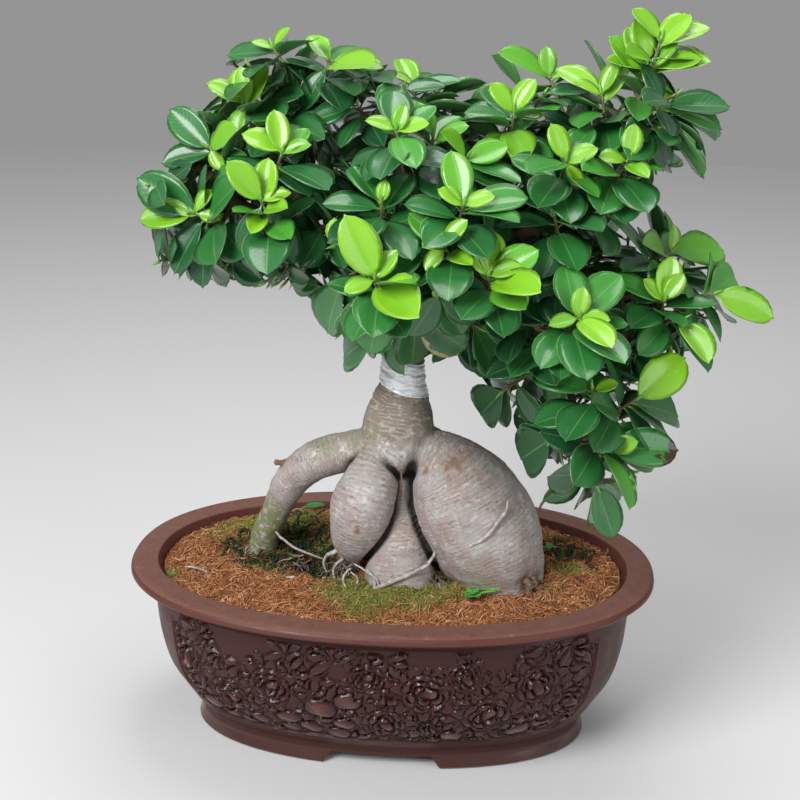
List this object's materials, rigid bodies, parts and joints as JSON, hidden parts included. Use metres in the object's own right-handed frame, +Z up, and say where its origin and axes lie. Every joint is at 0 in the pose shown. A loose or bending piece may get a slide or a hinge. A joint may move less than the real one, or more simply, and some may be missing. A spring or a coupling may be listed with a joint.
{
  "type": "bonsai tree",
  "caption": "Grafted ginseng ficus bonsai with swollen arching roots and small glossy leaves, growing in an oval dark stoneware pot with a wide rim and a relief band.",
  "frame": {"origin": "middle of the plant's and pot's box, at the underside of the foot, on the surface it stands on", "axes": "+Z up; the pot's long side runs along X and the front of the tree faces -Y"},
  "size_m": [0.395, 0.2572, 0.467],
  "materials": {
    "stoneware": "dark brown, satin",
    "coir_soil": "loose fibres and crumb",
    "fig_bark": "ridged grey bark",
    "graft_tape": "silvery film",
    "drain_mesh": "moulded",
    "fig_leaf": "waxy leaf"
  },
  "bodies": {
    "root": {"pot": "stoneware", "soil": "coir_soil", "trunk": "fig_bark", "graft_tape": "graft_tape", "drain_mesh_left": "drain_mesh", "drain_mesh_right": "drain_mesh", "leafy_stem_01": "fig_leaf", "leafy_stem_02": "fig_leaf", "leafy_stem_03": "fig_leaf", "leafy_stem_04": "fig_leaf", "leafy_stem_05": "fig_leaf", "leafy_stem_06": "fig_leaf", "leafy_stem_07": "fig_leaf", "leafy_stem_08": "fig_leaf", "leafy_stem_09": "fig_leaf", "leafy_stem_10": "fig_leaf", "leafy_stem_11": "fig_leaf", "leafy_stem_12": "fig_leaf", "leafy_stem_13": "fig_leaf", "leafy_stem_14": "fig_leaf", "leafy_stem_15": "fig_leaf", "leafy_stem_16": "fig_leaf", "leafy_stem_17": "fig_leaf", "leafy_stem_18": "fig_leaf", "leafy_stem_19": "fig_leaf", "leafy_stem_20": "fig_leaf", "leafy_stem_21": "fig_leaf", "leafy_stem_22": "fig_leaf", "leafy_stem_23": "fig_leaf", "leafy_stem_24": "fig_leaf", "leafy_stem_25": "fig_leaf", "leafy_stem_26": "fig_leaf", "leafy_stem_27": "fig_leaf", "leafy_stem_28": "fig_leaf", "leafy_stem_29": "fig_leaf", "leafy_stem_30": "fig_leaf", "leafy_stem_31": "fig_leaf", "leafy_stem_32": "fig_leaf", "leafy_stem_33": "fig_leaf", "leafy_stem_34": "fig_leaf", "leafy_stem_35": "fig_leaf", "leafy_stem_36": "fig_leaf", "leafy_stem_37": "fig_leaf", "leafy_stem_38": "fig_leaf", "leafy_stem_39": "fig_leaf", "leafy_stem_40": "fig_leaf", "leafy_stem_41": "fig_leaf", "leafy_stem_42": "fig_leaf", "leafy_stem_43": "fig_leaf", "leafy_stem_44": "fig_leaf", "leafy_stem_45": "fig_leaf", "leafy_stem_46": "fig_leaf", "leafy_stem_47": "fig_leaf", "leafy_stem_48": "fig_leaf", "leafy_stem_49": "fig_leaf", "leafy_stem_50": "fig_leaf", "leafy_stem_51": "fig_leaf", "leafy_stem_52": "fig_leaf", "leafy_stem_53": "fig_leaf", "leafy_stem_54": "fig_leaf"}
  },
  "joints": []
}
